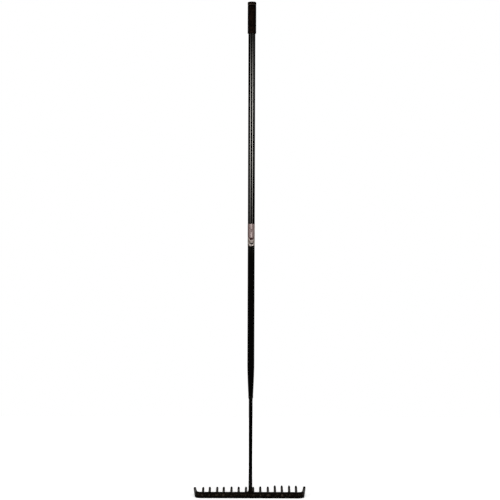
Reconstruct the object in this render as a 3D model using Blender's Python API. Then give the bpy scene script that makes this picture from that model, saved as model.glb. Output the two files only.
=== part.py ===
"""Asphalt rake: a riveted and welded steel head with sixteen teeth on a long tubular steel handle.

Metres, +Z up. The handle's axis is the Z axis, the head's beam runs along X and the teeth point along +Y.
The origin is on the beam's straight lower edge, under the handle.
"""

from math import cos, pi, radians, sin, sqrt

import bmesh
import bpy
from mathutils import Matrix, Vector

# Driving dimensions of the whole tool
OVERALL_LENGTH = 1.830
FIT_GAP = 0.0003

# Head: a flat bar on edge, whose two ends are bent forward and drawn out into the end teeth
BEAM_HEIGHT = 0.0230
BEAM_THICKNESS = 0.0095
BEAM_WIDTH = 0.4052
BEAM_EDGE_RADIUS = 0.0018
BEAM_OFFSET = -0.0030
BEND_RADIUS = 0.020
END_TOOTH_RISES = (0.0137, 0.0180)
END_TOOTH_NECK = (0.0094, 0.0080)
END_TOOTH_SPLAY = radians(7)
END_TOOTH_SHOULDER = 0.90

# Inner teeth, each riveted through the beam
TOOTH_COUNT = 14
TOOTH_PITCH = 0.0268
TOOTH_REACH = 0.075
TOOTH_ROOT = (0.0106, 0.0114)
TOOTH_NECK = (0.0086, 0.0076)
TOOTH_TIP = (0.0040, 0.0032)
TOOTH_POINT_FROM = 0.88
TOOTH_POINT_FULLNESS = 1.5
TOOTH_SQUARENESS = 3
TOOTH_FLARE = 0.0007
TENON_RADIUS = 0.0032
RIVET_RADIUS = 0.0054
RIVET_HEIGHT = 0.0018

# A riveted head from its top down to the beam, as shares of its radius and of its height
RIVET_DOME = ((0.45, 1.0), (0.80, 0.72), (1.0, 0.20), (1.0, 0.0))

# Where the sections lie along a tooth past its flared shoulder, as shares of its reach
SHOULDER_END = 0.035
SHOULDER_END_FLARE = 0.6 * TOOTH_FLARE
TOOTH_STATIONS = (0.09, 0.30, 0.52, 0.72, TOOTH_POINT_FROM, 0.95, 1.0)
END_TOOTH_STATIONS = (0.12, 0.28, 0.46, 0.64, 0.80, END_TOOTH_SHOULDER, 0.96, 1.0)

# The teeth are forged by hand: how far each is from its even place, and how high its point is lifted
TOOTH_SHIFTS = (
    0.0010, -0.0011, 0.0, -0.0026, -0.0004, -0.0005, 0.0,
    0.0, -0.0004, 0.0011, 0.0003, -0.0005, 0.0, -0.0011,
)
TOOTH_RISES = (
    0.0162, 0.0174, 0.0176, 0.0175, 0.0186, 0.0182, 0.0180,
    0.0172, 0.0199, 0.0192, 0.0264, 0.0264, 0.0263, 0.0252,
)

# Neck: a solid round bar welded to the beam and into the mouth of the tube
NECK_RADIUS = 0.0071
NECK_TOP = 0.470
NECK_BEVEL = 0.0010
HEAD_WELD_REACH = (0.0122, 0.0092)
HEAD_WELD_BOTTOM = 0.0200
HEAD_WELD_TOP = 0.0340
MOUTH_WELD_LENGTH = 0.0105

# The welds' outlines from the bottom up, as shares of their height and of their reach
HEAD_WELD_OUTLINE = (
    (0.0, 0.15), (0.05, 0.62), (0.11, 0.92), (0.19, 1.0), (0.27, 0.88),
    (0.40, 0.54), (0.52, 0.30), (0.72, 0.14), (1.0, 0.06),
)
MOUTH_WELD_OUTLINE = (
    (0.0, 0.10), (0.22, 0.18), (0.40, 0.32), (0.56, 0.56), (0.74, 0.86), (0.88, 0.99), (1.0, 1.0),
)

# Handle tube: straight, then swaged down to a short parallel mouth
TUBE_RADIUS = 0.0130
TUBE_WALL = 0.0015
MOUTH_RADIUS = 0.0091
MOUTH_Z = 0.3742
MOUTH_LENGTH = 0.0100
TAPER_TOP = 0.4862
TAPER_FULLNESS = 0.38

# Grip: a moulded sleeve over the tube and a moulded cap that plugs its end
GRIP_BOTTOM = 1.7133
SLEEVE_RADIUS = 0.0158
SLEEVE_LIP_RADIUS = 0.0020
JOINT_CHAMFER = 0.0014
CAP_HEIGHT = 0.0143
CAP_RADIUS = 0.0159
CAP_EDGE_RADIUS = 0.0030
CAP_ROOF = 0.0060
CAP_STEM_LENGTH = 0.032
CAP_STEM_WALL = 0.0020
CAP_BARB_COUNT = 3
CAP_BARB_STAND = 0.0004
CAP_BARB_RAMP = 0.0024

# Label: a stuck-on foil that faces the front
LABEL_BOTTOM = 0.9305
LABEL_TOP = 1.0120
LABEL_THICKNESS = 0.0003
LABEL_SPAN = radians(190)
LABEL_CORNER = 0.0050
LABEL_FACING = radians(-85)

# Facets round each kind of piece, and steps along it
TUBE_SIDES = 32
GRIP_SIDES = 36
NECK_SIDES = 24
TOOTH_SIDES = 12
HOLE_SIDES = 16
CORNER_STEPS = 2
LIP_STEPS = 4
BEND_STEPS = 8
TAPER_STEPS = 7
LABEL_STEPS = 14
SHARP_ANGLE = radians(38)
BEAM_SHARP_ANGLE = radians(20)
MERGE_DISTANCE = 1e-6


def clear_scene():
    for obj in list(bpy.data.objects):
        bpy.data.objects.remove(obj, do_unlink=True)


def finish_material(name, colour, roughness, metallic=0.0):
    material = bpy.data.materials.new(name)
    material.use_nodes = True
    shader = material.node_tree.nodes["Principled BSDF"]
    shader.inputs["Base Color"].default_value = (*colour, 1.0)
    shader.inputs["Roughness"].default_value = roughness
    shader.inputs["Metallic"].default_value = metallic
    material.diffuse_color = (*colour, 1.0)
    return material


def make_empty(name, location):
    empty = bpy.data.objects.new(name, None)
    empty.location = location
    bpy.context.scene.collection.objects.link(empty)
    return empty


def make_mesh(name, bm, material=None, sharp_angle=SHARP_ANGLE):
    mesh = bpy.data.meshes.new(name)
    bm.to_mesh(mesh)
    bm.free()
    mesh.shade_smooth()
    mesh.set_sharp_from_angle(angle=sharp_angle)
    if material:
        mesh.materials.append(material)
    return mesh


def place(name, mesh, parent, location=(0, 0, 0)):
    obj = bpy.data.objects.new(name, mesh)
    obj.parent = parent
    obj.location = location
    bpy.context.scene.collection.objects.link(obj)
    return obj


def cut(target, cutter):
    cutter.hide_render = True
    cutter.display_type = "WIRE"
    modifier = target.modifiers.new(cutter.name, "BOOLEAN")
    modifier.operation = "DIFFERENCE"
    modifier.object = cutter


def turned(section, sides, closed):
    """Spin (radius, height) points about Z. A closed section is hollow, and an open one ends on the axis."""
    bm = bmesh.new()
    points = [bm.verts.new((radius, 0, height)) for radius, height in section]
    pairs = list(zip(points, points[1:]))
    if closed:
        pairs.append((points[-1], points[0]))
    edges = [bm.edges.new(pair) for pair in pairs]
    bmesh.ops.spin(
        bm, geom=points + edges, cent=(0, 0, 0), axis=(0, 0, 1), angle=2 * pi, steps=sides, use_merge=True
    )
    bmesh.ops.remove_doubles(bm, verts=bm.verts, dist=MERGE_DISTANCE)
    bmesh.ops.recalc_face_normals(bm, faces=bm.faces)
    return bm


def skinned(rings):
    """Rings of the same number of points, joined in turn and closed at both ends."""
    bm = bmesh.new()
    loops = [[bm.verts.new(point) for point in ring] for ring in rings]
    for near, far in zip(loops, loops[1:]):
        for i in range(len(near)):
            k = (i + 1) % len(near)
            bm.faces.new((near[i], near[k], far[k], far[i]))
    bm.faces.new(loops[0])
    bm.faces.new(loops[-1])
    bmesh.ops.recalc_face_normals(bm, faces=bm.faces)
    return bm


def blended(start, end, share):
    return start + (end - start) * share


def rounded_rectangle(width, height, corner):
    """Points round a rectangle with rounded corners, as (across, up) pairs."""
    corner = min(corner, width * 0.49, height * 0.49)
    points = []
    for quarter in range(4):
        side_x = 1 if quarter in (0, 3) else -1
        side_y = 1 if quarter in (0, 1) else -1
        for step in range(CORNER_STEPS + 1):
            turn = (quarter + step / CORNER_STEPS) * pi / 2
            across = side_x * (width / 2 - corner) + corner * cos(turn)
            up = side_y * (height / 2 - corner) + corner * sin(turn)
            points.append((across, up))
    return points


def rounded_edge(radius, height, corner, upward):
    """A quarter round on a turned section, from its end face out to its side. upward is 1 on a lower end."""
    points = []
    for step in range(LIP_STEPS + 1):
        turn = pi / 2 * step / LIP_STEPS
        points.append((radius - corner * (1 - sin(turn)), height + upward * corner * (1 - cos(turn))))
    return points


def tooth_size(share):
    """Width and depth of a tooth at a share of its reach: a slow taper, then a short blunt point."""
    if share <= TOOTH_POINT_FROM:
        along = share / TOOTH_POINT_FROM
        return [blended(root, neck, along) for root, neck in zip(TOOTH_ROOT, TOOTH_NECK)]
    along = ((share - TOOTH_POINT_FROM) / (1 - TOOTH_POINT_FROM)) ** TOOTH_POINT_FULLNESS
    return [blended(neck, tip, along) for neck, tip in zip(TOOTH_NECK, TOOTH_TIP)]


def rise_arc(rise):
    """The radius and the full angle of the arc that lifts a tooth by the rise over its reach."""
    radius = (TOOTH_REACH**2 + rise**2) / (2 * rise)
    return radius, 2 * TOOTH_REACH * rise / (TOOTH_REACH**2 + rise**2)


def round_ring(radius, y):
    """A circle about the Y axis, matched point by point to a tooth's own sections."""
    turns = [2 * pi * i / TOOTH_SIDES for i in range(TOOTH_SIDES)]
    return [Vector((radius * cos(turn), y, radius * sin(turn))) for turn in turns]


def tooth_ring(share, rise, flare=0.0):
    """A rounded square section across a tooth's arc."""
    radius, full = rise_arc(rise)
    bend = full * share
    centre = Vector((0, BEAM_THICKNESS / 2 + FIT_GAP + radius * sin(bend), radius * (1 - cos(bend))))
    upward = Vector((0, -sin(bend), cos(bend)))
    width, depth = tooth_size(share)
    ring = []
    for i in range(TOOTH_SIDES):
        turn = 2 * pi * i / TOOTH_SIDES
        corner = abs(cos(turn)) ** TOOTH_SQUARENESS + abs(sin(turn)) ** TOOTH_SQUARENESS
        out = corner ** (-1 / TOOTH_SQUARENESS)
        across = (width / 2 + flare) * out * cos(turn)
        up = (depth / 2 + flare) * out * sin(turn)
        ring.append(centre + Vector((across, 0, 0)) + upward * up)
    return ring


def tooth_mesh(name, material, rise):
    """Rivet head, tenon, shoulder and curved spike in one skin. Its origin is in the middle of the beam."""
    back = -BEAM_THICKNESS / 2 - FIT_GAP
    front = BEAM_THICKNESS / 2 + FIT_GAP
    rings = [round_ring(RIVET_RADIUS * across, back - RIVET_HEIGHT * out) for across, out in RIVET_DOME]
    rings += [round_ring(TENON_RADIUS, back), round_ring(TENON_RADIUS, front)]
    rings += [tooth_ring(0.0, rise, TOOTH_FLARE), tooth_ring(SHOULDER_END, rise, SHOULDER_END_FLARE)]
    rings += [tooth_ring(share, rise) for share in TOOTH_STATIONS]
    return make_mesh(name, skinned(rings), material)


def tooth_place(number):
    """The distance along the beam from its middle to an inner tooth, counted from 1."""
    return (number - (TOOTH_COUNT + 1) / 2) * TOOTH_PITCH + TOOTH_SHIFTS[number - 1]


def add_teeth(head, steel):
    for number in range(1, TOOTH_COUNT + 1):
        name = f"tooth_{number:02d}"
        mesh = tooth_mesh(name, steel, TOOTH_RISES[number - 1])
        place(name, mesh, head, (tooth_place(number), 0, BEAM_HEIGHT / 2))


def beam_ring(centre, heading, height=BEAM_HEIGHT, thickness=BEAM_THICKNESS):
    """A section of the bar, square to its heading in plan, for the right half of the beam."""
    sideways = Vector((-sin(heading), cos(heading), 0))
    section = rounded_rectangle(thickness, height, BEAM_EDGE_RADIUS)
    return [centre + sideways * across + Vector((0, 0, up)) for across, up in section]


def end_tooth_rings(root, heading, rise):
    """The end of the bar past its bend, drawn down evenly to a tooth and lifted as the inner teeth are."""
    forward = Vector((cos(heading), sin(heading), 0))
    reach = (BEAM_THICKNESS / 2 + TOOTH_REACH - root.y) / sin(heading)
    arc_radius = rise_arc(rise)[0]
    rings = []
    for share in END_TOOTH_STATIONS:
        centre = root + forward * (reach * share)
        past_face = max(centre.y - BEAM_THICKNESS / 2, 0.0)
        centre.z += arc_radius - sqrt(arc_radius**2 - past_face**2)
        drawn = min(share / END_TOOTH_SHOULDER, 1.0)
        height = blended(BEAM_HEIGHT, END_TOOTH_NECK[1], drawn)
        thickness = blended(BEAM_THICKNESS, END_TOOTH_NECK[0], drawn)
        if share > END_TOOTH_SHOULDER:
            pointed = ((share - END_TOOTH_SHOULDER) / (1 - END_TOOTH_SHOULDER)) ** TOOTH_POINT_FULLNESS
            height = blended(height, TOOTH_TIP[1], pointed)
            thickness = blended(thickness, TOOTH_TIP[0], pointed)
        rings.append(beam_ring(centre, heading, height, thickness))
    return rings


def half_beam_rings(end_rise):
    """Sections from the first gap right of the beam's middle out to the tip of its right end tooth."""
    bend = pi / 2 - END_TOOTH_SPLAY
    bend_start = BEAM_WIDTH / 2 - BEAM_THICKNESS / 2 - BEND_RADIUS * sin(bend)
    middle_height = BEAM_HEIGHT / 2
    between_teeth = [number * TOOTH_PITCH for number in range(1, TOOTH_COUNT // 2)]
    rings = [beam_ring(Vector((along, 0, middle_height)), 0) for along in between_teeth + [bend_start]]
    for step in range(1, BEND_STEPS + 1):
        heading = bend * step / BEND_STEPS
        along = bend_start + BEND_RADIUS * sin(heading)
        root = Vector((along, BEND_RADIUS * (1 - cos(heading)), middle_height))
        rings.append(beam_ring(root, heading))
    return rings + end_tooth_rings(root, bend, end_rise)


def add_beam(head, steel):
    left, right = [half_beam_rings(rise) for rise in END_TOOTH_RISES]
    left = [[Vector((-point.x, point.y, point.z)) for point in ring] for ring in left]
    middle = beam_ring(Vector((0, 0, BEAM_HEIGHT / 2)), 0)
    rings = left[::-1] + [middle] + right
    beam = place("rake_beam", make_mesh("rake_beam", skinned(rings), steel, BEAM_SHARP_ANGLE), head)

    drills = bmesh.new()
    hole_radius = (TENON_RADIUS + FIT_GAP) / cos(pi / HOLE_SIDES)
    across_beam = Matrix.Rotation(pi / 2, 4, "X")
    for number in range(1, TOOTH_COUNT + 1):
        bmesh.ops.create_cone(
            drills,
            cap_ends=True,
            segments=HOLE_SIDES,
            radius1=hole_radius,
            radius2=hole_radius,
            depth=3 * BEAM_THICKNESS,
            matrix=Matrix.Translation((tooth_place(number), 0, BEAM_HEIGHT / 2)) @ across_beam,
        )
    cut(beam, place("tenon_holes", make_mesh("tenon_holes", drills), head))


def add_neck(handle, steel):
    bottom = BEAM_HEIGHT + FIT_GAP
    section = [
        (0, bottom),
        (NECK_RADIUS, bottom),
        (NECK_RADIUS, NECK_TOP - NECK_BEVEL),
        (NECK_RADIUS - NECK_BEVEL, NECK_TOP),
        (0, NECK_TOP),
    ]
    place("neck_rod", make_mesh("neck_rod", turned(section, NECK_SIDES, closed=False), steel), handle)


def add_head_weld(handle, steel):
    """A fillet round the neck's foot that laps over both faces of the beam."""
    inner = NECK_RADIUS + FIT_GAP
    rings = []
    for up, out in HEAD_WELD_OUTLINE:
        height = blended(HEAD_WELD_BOTTOM, HEAD_WELD_TOP, up)
        reach_x, reach_y = [blended(inner, most, out) for most in HEAD_WELD_REACH]
        turns = [2 * pi * i / NECK_SIDES for i in range(NECK_SIDES)]
        rings.append([Vector((reach_x * cos(turn), reach_y * sin(turn), height)) for turn in turns])
    weld = place("head_weld", make_mesh("head_weld", skinned(rings), steel), handle)

    slot = bmesh.new()
    slot_size = Vector((4 * HEAD_WELD_REACH[0], BEAM_THICKNESS + 2 * FIT_GAP, BEAM_HEIGHT))
    slot_place = Matrix.Translation((0, 0, BEAM_HEIGHT / 2 + FIT_GAP))
    bmesh.ops.create_cube(slot, size=1.0, matrix=slot_place @ Matrix.Diagonal(slot_size).to_4x4())
    cut(weld, place("beam_slot", make_mesh("beam_slot", slot), handle))

    bore_top = 2 * HEAD_WELD_TOP
    bore_section = [(0, BEAM_HEIGHT), (inner, BEAM_HEIGHT), (inner, bore_top), (0, bore_top)]
    bore = turned(bore_section, NECK_SIDES, closed=False)
    cut(weld, place("neck_bore", make_mesh("neck_bore", bore), handle))


def add_mouth_weld(handle, steel):
    """The weld bead that runs from the tube's mouth down onto the neck."""
    inner = NECK_RADIUS + FIT_GAP
    top = MOUTH_Z - FIT_GAP
    bottom = top - MOUTH_WELD_LENGTH
    section = [(inner, bottom)]
    for up, out in MOUTH_WELD_OUTLINE:
        section.append((blended(inner, MOUTH_RADIUS, out), blended(bottom, top, up)))
    section.append((inner, top))
    place("mouth_weld", make_mesh("mouth_weld", turned(section, NECK_SIDES, closed=True), steel), handle)


def add_tube(handle, steel):
    """The outside runs from the mouth up the taper, and the wall thins from the mouth to the full tube."""
    outside = [(MOUTH_RADIUS, MOUTH_Z)]
    for step in range(TAPER_STEPS + 1):
        share = step / TAPER_STEPS
        fuller = share * (1 + TAPER_FULLNESS * (1 - share))
        height = blended(MOUTH_Z + MOUTH_LENGTH, TAPER_TOP, share)
        outside.append((blended(MOUTH_RADIUS, TUBE_RADIUS, fuller), height))
    outside.append((TUBE_RADIUS, OVERALL_LENGTH - CAP_HEIGHT - FIT_GAP))
    mouth_wall = MOUTH_RADIUS - NECK_RADIUS - FIT_GAP
    inside = []
    for radius, height in outside:
        share = (radius - MOUTH_RADIUS) / (TUBE_RADIUS - MOUTH_RADIUS)
        inside.append((radius - blended(mouth_wall, TUBE_WALL, share), height))
    section = outside + inside[::-1]
    place("handle_tube", make_mesh("handle_tube", turned(section, TUBE_SIDES, closed=True), steel), handle)


def add_sleeve(handle, vinyl):
    """The grip's sleeve: a plain bore, a rounded lower lip, and a chamfer where it meets the cap."""
    top = OVERALL_LENGTH - CAP_HEIGHT - FIT_GAP
    bore = TUBE_RADIUS + FIT_GAP
    section = [(bore, GRIP_BOTTOM)]
    section += rounded_edge(SLEEVE_RADIUS, GRIP_BOTTOM, SLEEVE_LIP_RADIUS, 1)
    section += [(SLEEVE_RADIUS, top - JOINT_CHAMFER), (SLEEVE_RADIUS - JOINT_CHAMFER, top), (bore, top)]
    place("grip_sleeve", make_mesh("grip_sleeve", turned(section, GRIP_SIDES, closed=True), vinyl), handle)


def add_cap(handle, vinyl):
    """The grip's end cap: a flat-topped head on a hollow, barbed stem that plugs the tube."""
    under = OVERALL_LENGTH - CAP_HEIGHT
    stem_bottom = under - CAP_STEM_LENGTH
    barb = TUBE_RADIUS - TUBE_WALL - FIT_GAP
    stem = barb - CAP_BARB_STAND
    hollow = stem - CAP_STEM_WALL
    section = [(0, OVERALL_LENGTH)]
    section += rounded_edge(CAP_RADIUS, OVERALL_LENGTH, CAP_EDGE_RADIUS, -1)
    section += [(CAP_RADIUS, under + JOINT_CHAMFER), (CAP_RADIUS - JOINT_CHAMFER, under), (stem, under)]
    for number in range(1, CAP_BARB_COUNT + 1):
        height = blended(under, stem_bottom, number / (CAP_BARB_COUNT + 1))
        section += [(stem, height + CAP_BARB_STAND), (barb, height), (stem, height - CAP_BARB_RAMP)]
    section += [(stem, stem_bottom), (hollow, stem_bottom)]
    section += [(hollow, OVERALL_LENGTH - CAP_ROOF), (0, OVERALL_LENGTH - CAP_ROOF)]
    cap = make_mesh("grip_end_cap", turned(section, GRIP_SIDES, closed=False), vinyl)
    place("grip_end_cap", cap, handle)


def add_label(handle, foil):
    """A thin foil bent round the front of the tube, with rounded corners."""
    inner = TUBE_RADIUS + FIT_GAP
    outer = inner + LABEL_THICKNESS
    half_width = LABEL_SPAN / 2 * outer
    round_in = [LABEL_CORNER * (1 - cos(pi / 2 * step / LIP_STEPS)) for step in range(LIP_STEPS + 1)]
    left = [along - half_width for along in round_in]
    middle = [blended(left[-1], -left[-1], step / LABEL_STEPS) for step in range(1, LABEL_STEPS)]
    right = [-along for along in reversed(left)]
    rings = []
    for along in left + middle + right:
        to_corner = LABEL_CORNER - min(half_width - abs(along), LABEL_CORNER)
        inset = LABEL_CORNER - sqrt(LABEL_CORNER**2 - to_corner**2)
        low, high = LABEL_BOTTOM + inset, LABEL_TOP - inset
        turn = LABEL_FACING + along / outer
        section = [(inner, low), (outer, low), (outer, high), (inner, high)]
        outward = Vector((cos(turn), sin(turn), 0))
        rings.append([outward * radius + Vector((0, 0, height)) for radius, height in section])
    place("label_foil", make_mesh("label_foil", skinned(rings), foil), handle)


def build():
    clear_scene()
    head = make_empty("head", (BEAM_OFFSET, 0, 0))
    handle = make_empty("handle", (0, 0, 0))
    head_steel = finish_material("head_black_paint", (0.012, 0.010, 0.008), 0.55)
    tube_steel = finish_material("tube_gloss_black", (0.006, 0.006, 0.006), 0.18)
    vinyl = finish_material("grip_black_vinyl", (0.010, 0.008, 0.007), 0.60)
    foil = finish_material("label_silver_foil", (0.36, 0.30, 0.30), 0.35, 0.3)
    add_beam(head, head_steel)
    add_teeth(head, head_steel)
    add_neck(handle, tube_steel)
    add_head_weld(handle, head_steel)
    add_mouth_weld(handle, tube_steel)
    add_tube(handle, tube_steel)
    add_sleeve(handle, vinyl)
    add_cap(handle, vinyl)
    add_label(handle, foil)


build()
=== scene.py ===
"""The looks of the asphalt rake: finer meshes over its solids, their finishes, a plain studio and the camera.

Metres, +Z up, in the same frame as the solids: the handle's axis is the Z axis and the teeth point along +Y.
"""

from math import cos, pi, radians, sin, sqrt

import bmesh
import bpy
from mathutils import Matrix, Vector, noise


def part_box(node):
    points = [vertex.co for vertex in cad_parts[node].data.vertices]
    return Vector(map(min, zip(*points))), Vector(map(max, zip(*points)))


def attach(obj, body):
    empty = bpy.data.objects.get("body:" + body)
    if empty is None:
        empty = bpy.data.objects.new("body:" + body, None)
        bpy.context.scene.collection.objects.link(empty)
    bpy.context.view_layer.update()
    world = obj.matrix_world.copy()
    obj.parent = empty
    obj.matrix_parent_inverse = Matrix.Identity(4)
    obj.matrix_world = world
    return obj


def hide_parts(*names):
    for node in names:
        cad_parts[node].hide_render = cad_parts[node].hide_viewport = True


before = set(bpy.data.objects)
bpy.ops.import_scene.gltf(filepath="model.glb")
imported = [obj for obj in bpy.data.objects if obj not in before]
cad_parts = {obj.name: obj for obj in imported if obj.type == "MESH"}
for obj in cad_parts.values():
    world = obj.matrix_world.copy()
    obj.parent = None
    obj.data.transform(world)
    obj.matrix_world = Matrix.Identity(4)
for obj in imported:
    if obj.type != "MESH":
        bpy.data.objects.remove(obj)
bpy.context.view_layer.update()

# Picture: it is square, with PIXEL_SIZE measured at the tool and the tool's foot at FOOT_ROW
PICTURE_SIDE = 500
PIXEL_SIZE = 0.0036885
FOOT_ROW = 498.24
CAMERA_DISTANCE = 5.0
CAMERA_SIDE = -0.0044
CAMERA_ROLL = radians(-0.19)
SENSOR_WIDTH = 36.0

# Lights: two tall soft lamps, one on each side of the camera, and a dim one above it
KEY_DISTANCE = 2.0
KEY_TURNS = (radians(-39), radians(33))
KEY_SIZE = (0.36, 1.24)
KEY_BOTTOM = 0.87
KEY_BRIGHTEST = 1.60
KEY_POWERS = (35.0, 36.5)
TOP_PLACE = (0.0, -2.4, 3.8)
TOP_TARGET = (0, 0, 0.4)
TOP_SIZE = (2.4, 1.8)
TOP_POWER = 75.0

# Head
BEAM_HEIGHT = 0.0230
BEAM_THICKNESS = 0.0095
BEAM_WIDTH = 0.4052
BEAM_EDGE_RADIUS = 0.0018
BEAM_EDGE_LIMIT = 0.45
BEAM_OFFSET = -0.0030
BEND_RADIUS = 0.020
END_TOOTH_RISES = (0.0137, 0.0180)
END_TOOTH_NECK = (0.0094, 0.0080)
END_TOOTH_SPLAY = radians(7)
END_TOOTH_SHOULDER = 0.90
TOOTH_COUNT = 14
TOOTH_PITCH = 0.0268
TOOTH_REACH = 0.075
TOOTH_ROOT = (0.0106, 0.0114)
TOOTH_NECK = (0.0086, 0.0076)
TOOTH_TIP = (0.0040, 0.0032)
TOOTH_POINT_FROM = 0.88
TOOTH_POINT_FULLNESS = 1.5
TOOTH_SQUARENESS = 3
TOOTH_FLARE = 0.0007
TENON_RADIUS = 0.0032
RIVET_RADIUS = 0.0054
RIVET_HEIGHT = 0.0018
RIVET_FULLNESS = 2.6

# The teeth are forged by hand: how far each is from its even place, and how high its point is lifted
TOOTH_SHIFTS = (
    0.0010, -0.0011, 0.0, -0.0026, -0.0004, -0.0005, 0.0,
    0.0, -0.0004, 0.0011, 0.0003, -0.0005, 0.0, -0.0011,
)
TOOTH_RISES = (
    0.0162, 0.0174, 0.0176, 0.0175, 0.0186, 0.0182, 0.0180,
    0.0172, 0.0199, 0.0192, 0.0264, 0.0264, 0.0263, 0.0252,
)

# Sections of a tooth, in shares of its reach: the first, the last and the spacing between them. Each of the
# two at its blunt end has its share and the size that it shrinks to
SHOULDER_SECTIONS = (0.0, 0.04, 0.008)
SHOULDER_END = 0.05
SPIKE_SECTIONS = (0.055, 0.985, 0.022)
BLUNT_END = ((0.994, 0.86), (1.0, 0.55))

# Unevenness left by hammering and drawing: the size of its waves, their depth and, where it has one, the seed
TOOTH_WAVES = ((0.0100, 0.00022), (0.0030, 0.00010))
TOOTH_SEED_STEP = 10.0
BEAM_WAVES = ((0.020, 0.00016, 0.0), (0.0045, 0.00010, 3.0))
NECK_WAVES = (0.05, 0.00004)
SEED_DIRECTION = (1, 1.7, 2.3)

# Neck
NECK_RADIUS = 0.0071
NECK_BEVEL = 0.0010

# Welds: an outline has shares of the weld's height and of its reach past the neck. The ripples fade towards
# the thin edge on the neck
WELD_RIPPLES = 15
WELD_RIPPLE_DEPTH = 0.00028
WELD_RIPPLE_BEND = 2.2
WELD_RIPPLE_WANDER = 0.8
HEAD_WELD_REACH = (0.0122, 0.0092)
HEAD_WELD_BOTTOM = 0.0200
HEAD_WELD_TOP = 0.0340
HEAD_WELD_LUMP = 0.0006
HEAD_WELD_LUMP_TURN = 2
HEAD_WELD_LIFT = 0.5
HEAD_WELD_SEED = 1.0
HEAD_WELD_FADE = 3
HEAD_WELD_OUTLINE = (
    (0.0, 0.55), (0.02, 0.74), (0.06, 0.88), (0.13, 0.97), (0.19, 1.0), (0.25, 0.92), (0.32, 0.74),
    (0.40, 0.51), (0.50, 0.30), (0.60, 0.18), (0.72, 0.10), (0.85, 0.05), (1.0, -0.02),
)
MOUTH_WELD_SEED = 7.0
MOUTH_WELD_FADE = (4, 0.2)
MOUTH_WELD_OUTLINE = (
    (1.0, 0.92), (0.96, 0.98), (0.88, 0.99), (0.80, 0.92), (0.70, 0.78), (0.60, 0.62), (0.50, 0.45),
    (0.40, 0.31), (0.30, 0.22), (0.20, 0.15), (0.11, 0.09), (0.04, 0.04), (0.0, -0.03),
)

# Handle tube
TUBE_RADIUS = 0.0130
TUBE_WALL = 0.0015
MOUTH_RADIUS = 0.0091
MOUTH_LENGTH = 0.0100
MOUTH_LIP = 0.0005
TAPER_TOP = 0.4862
TAPER_FULLNESS = 0.38

# Grip
SLEEVE_RADIUS = 0.0158
SLEEVE_LIP_RADIUS = 0.0020
SLEEVE_SIDE_START = 0.003
JOINT_CHAMFER = 0.0014
CAP_RADIUS = 0.0159
CAP_EDGE_RADIUS = 0.0030
CAP_ROOF = 0.0060
CAP_HEIGHT = 0.0143
CAP_STEM_WALL = 0.0020
CAP_BARB_COUNT = 3
CAP_BARB_STAND = 0.0004
CAP_BARB_RAMP = 0.0024
CAP_DIMPLE_RADII = (0.00022, 0.00154, 0.0022, 0.0044)
CAP_DIMPLE_DEPTH = 0.0005

# The sleeve's moulded diamonds: the groove's width is a share of a diamond, and they fade near the plain ends
DIAMONDS_ROUND = 20
DIAMOND_HEIGHT = 0.0062
DIAMOND_GROOVE = 0.00032
DIAMOND_GROOVE_WIDTH = 0.16
DIAMOND_MARGIN = 0.0050
DIAMOND_FADE = 0.001

# Label
LABEL_THICKNESS = 0.00018
LABEL_SPAN = radians(190)
LABEL_CORNER = 0.0050
LABEL_FACING = radians(-85)

# How finely the pieces are divided: counts of sides, steps and rows, and spacings along a piece
TUBE_SIDES = 96
SLEEVE_SIDES = 320
NECK_SIDES = 120
HEAD_WELD_SIDES = 120
MOUTH_WELD_SIDES = 96
TOOTH_SIDES = 32
BEAM_SIDE_STEPS = (4, 8, 4, 8)
BEAM_CORNER_STEPS = 4
BEND_STEPS = 16
RIVET_STEPS = 9
ROUND_STEPS = 8
MOUTH_LIP_STEPS = 4
LABEL_CORNER_STEPS = 12
LABEL_ROWS = 40
FLOOR_STEPS = 4
BEAM_SPACING = 0.003
END_TOOTH_SPACING = 0.03
NECK_SPACING = 0.01
TUBE_SPACING = 0.04
TAPER_SPACING = 0.03
SLEEVE_SPACING = 0.0005
CAP_SPACING = 0.002
LABEL_SPACING = 0.0005
SHARP_ANGLE = radians(50)

# How far a riveted or welded piece bites into its neighbour, so that no gap shows
BITE = 0.0002

# The holes' drills are this long, and points closer than this after the cut are made one
DRILL_LENGTH = 0.03
MERGE_DISTANCE = 0.000005

# Finishes. A grain is its features' size, its detail and, where it isn't even, its stretch along each axis.
# A ramp is the values between which it eases and, where these aren't 0 and 1, what it eases from and to.

# Enamel: gloss on the tube, satin on the neck and the mouth's weld, with slightly warm reflections
ENAMEL_BLACK = (0.0008, 0.0006, 0.0004, 1.0)
ENAMEL_CLOUDY = (0.0018, 0.0015, 0.0010, 1.0)
ENAMEL_TINT = (1.0, 0.97, 0.90, 1.0)
ENAMEL_CLOUD_GRAIN = (0.030, 3.0, (1, 1, 5))
ENAMEL_CLOUD_RAMP = (0.35, 0.75)
ENAMEL_SMUDGE_GRAIN = (0.012, 4.0, (1, 1, 3))
ENAMEL_SMUDGE_RAMP = (0.40, 0.75)
ORANGE_PEEL_GRAIN = (0.0050, 2.0)
ORANGE_PEEL_DEPTH = 0.000004
FINE_PEEL_GRAIN = (0.0014, 1.0)
FINE_PEEL_DEPTH = 0.0000008
GLOSS_ROUGHNESS = (0.055, 0.10)
GLOSS_SPECULAR = 0.5
SATIN_ROUGHNESS = (0.18, 0.26)
SATIN_SPECULAR = 0.04

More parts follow.
